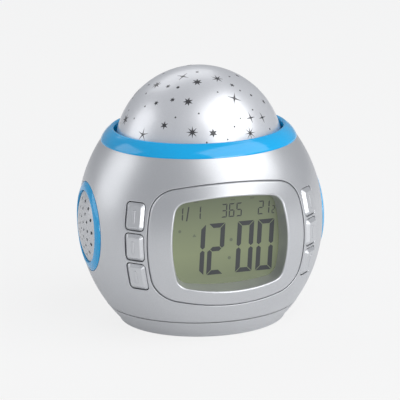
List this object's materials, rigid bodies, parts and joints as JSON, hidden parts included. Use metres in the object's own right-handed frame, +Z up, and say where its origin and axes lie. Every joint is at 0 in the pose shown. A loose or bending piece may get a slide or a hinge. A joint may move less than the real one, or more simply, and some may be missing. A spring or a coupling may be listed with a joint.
{
  "type": "projection alarm clock",
  "caption": "Ball-shaped bedside alarm clock with a star-projecting press dome, recessed display, side keys and grilles.",
  "frame": {"origin": "middle of the footprint on the table, below the ball's axis", "axes": "+Z up along the ball's axis, the display faces -Y, +X to the right of someone facing the display"},
  "size_m": [0.1126, 0.1079, 0.1158],
  "materials": {
    "silver_paint": "fine silver paint on moulded plastic, satin",
    "key_silver": "silver paint on moulded keys, satin",
    "blue_gloss": "glossy cyan blue moulding",
    "dome_silver": "clear plastic with a glossy silver coat that leaves star windows open",
    "display_glass": "reflective liquid crystal cell, olive grey ground",
    "white_plastic": "white moulded plastic",
    "black_plastic": "black moulded plastic",
    "lamp_clear": "clear lamp bodies",
    "board_green": "green solder mask",
    "contact_rubber": "conductive rubber",
    "foot_rubber": "black rubber",
    "spring_steel": "nickel-plated spring steel",
    "screw_steel": "zinc-plated steel",
    "cone_paper": "black pressed paper",
    "magnet_iron": "ferrite magnet and pot",
    "cell_wrap": "plain dark sleeve, steel ends"
  },
  "bodies": {
    "housing": {"backlight_panel": "white_plastic", "base_cup": "silver_paint", "base_screws": "screw_steel", "battery_cell_front": "cell_wrap", "battery_cell_middle": "cell_wrap", "battery_cell_rear": "cell_wrap", "battery_contacts": "spring_steel", "battery_springs": "spring_steel", "board_screws": "screw_steel", "body_shell": "silver_paint", "clock_chip": "black_plastic", "collar_ring": "blue_gloss", "contact_strips": "contact_rubber", "dome_springs": "spring_steel", "dome_switch": "black_plastic", "front_bezel": "silver_paint", "inner_deck": "white_plastic", "lcd_glass": "display_glass", "lcd_holder": "black_plastic", "left_key_board": "board_green", "left_key_screws": "screw_steel", "left_key_switches": "black_plastic", "left_speaker_grille": "silver_paint", "left_speaker_ring": "blue_gloss", "main_board": "board_green", "projector_board": "board_green", "projector_lamps": "lamp_clear", "right_key_board": "board_green", "right_key_screws": "screw_steel", "right_key_switches": "black_plastic", "right_speaker_grille": "silver_paint", "right_speaker_ring": "blue_gloss", "rubber_feet": "foot_rubber", "speaker_basket": "screw_steel", "speaker_cone": "cone_paper", "speaker_magnet": "magnet_iron", "speaker_screws": "screw_steel"},
    "dome": {"star_dome": "dome_silver", "dome_carrier": "white_plastic"},
    "battery_door": {"battery_door": "silver_paint"},
    "left_key_upper": {"left_key_upper": "key_silver"},
    "left_key_middle": {"left_key_middle": "key_silver"},
    "left_key_lower": {"left_key_lower": "key_silver"},
    "right_key_upper": {"right_key_upper": "key_silver"},
    "right_key_middle": {"right_key_middle": "key_silver"},
    "right_key_lower": {"right_key_lower": "key_silver"}
  },
  "joints": [
    {"name": "dome_press", "type": "slide", "parent": "housing", "child": "dome", "axis": [0, 0, -1], "range_m": [0, 0.0015], "stiffness_N_per_m": 900, "springref_m": -0.002, "deforming": ["dome_springs"]},
    {"name": "left_key_upper_press", "type": "slide", "parent": "housing", "child": "left_key_upper", "axis": [0.7361, 0.6769, 0], "range_m": [0, 0.0008], "stiffness_N_per_m": 1500, "springref_m": -0.0006},
    {"name": "left_key_middle_press", "type": "slide", "parent": "housing", "child": "left_key_middle", "axis": [0.7361, 0.6769, 0], "range_m": [0, 0.0008], "stiffness_N_per_m": 1500, "springref_m": -0.0006},
    {"name": "left_key_lower_press", "type": "slide", "parent": "housing", "child": "left_key_lower", "axis": [0.7361, 0.6769, 0], "range_m": [0, 0.0008], "stiffness_N_per_m": 1500, "springref_m": -0.0006},
    {"name": "right_key_upper_press", "type": "slide", "parent": "housing", "child": "right_key_upper", "axis": [-0.7361, 0.6769, 0], "range_m": [0, 0.0008], "stiffness_N_per_m": 1500, "springref_m": -0.0006},
    {"name": "right_key_middle_press", "type": "slide", "parent": "housing", "child": "right_key_middle", "axis": [-0.7361, 0.6769, 0], "range_m": [0, 0.0008], "stiffness_N_per_m": 1500, "springref_m": -0.0006},
    {"name": "right_key_lower_press", "type": "slide", "parent": "housing", "child": "right_key_lower", "axis": [-0.7361, 0.6769, 0], "range_m": [0, 0.0008], "stiffness_N_per_m": 1500, "springref_m": -0.0006},
    {"name": "battery_door_off", "type": "slide", "parent": "housing", "child": "battery_door", "axis": [0, 0, -1], "range_m": [0, 0.02]}
  ]
}
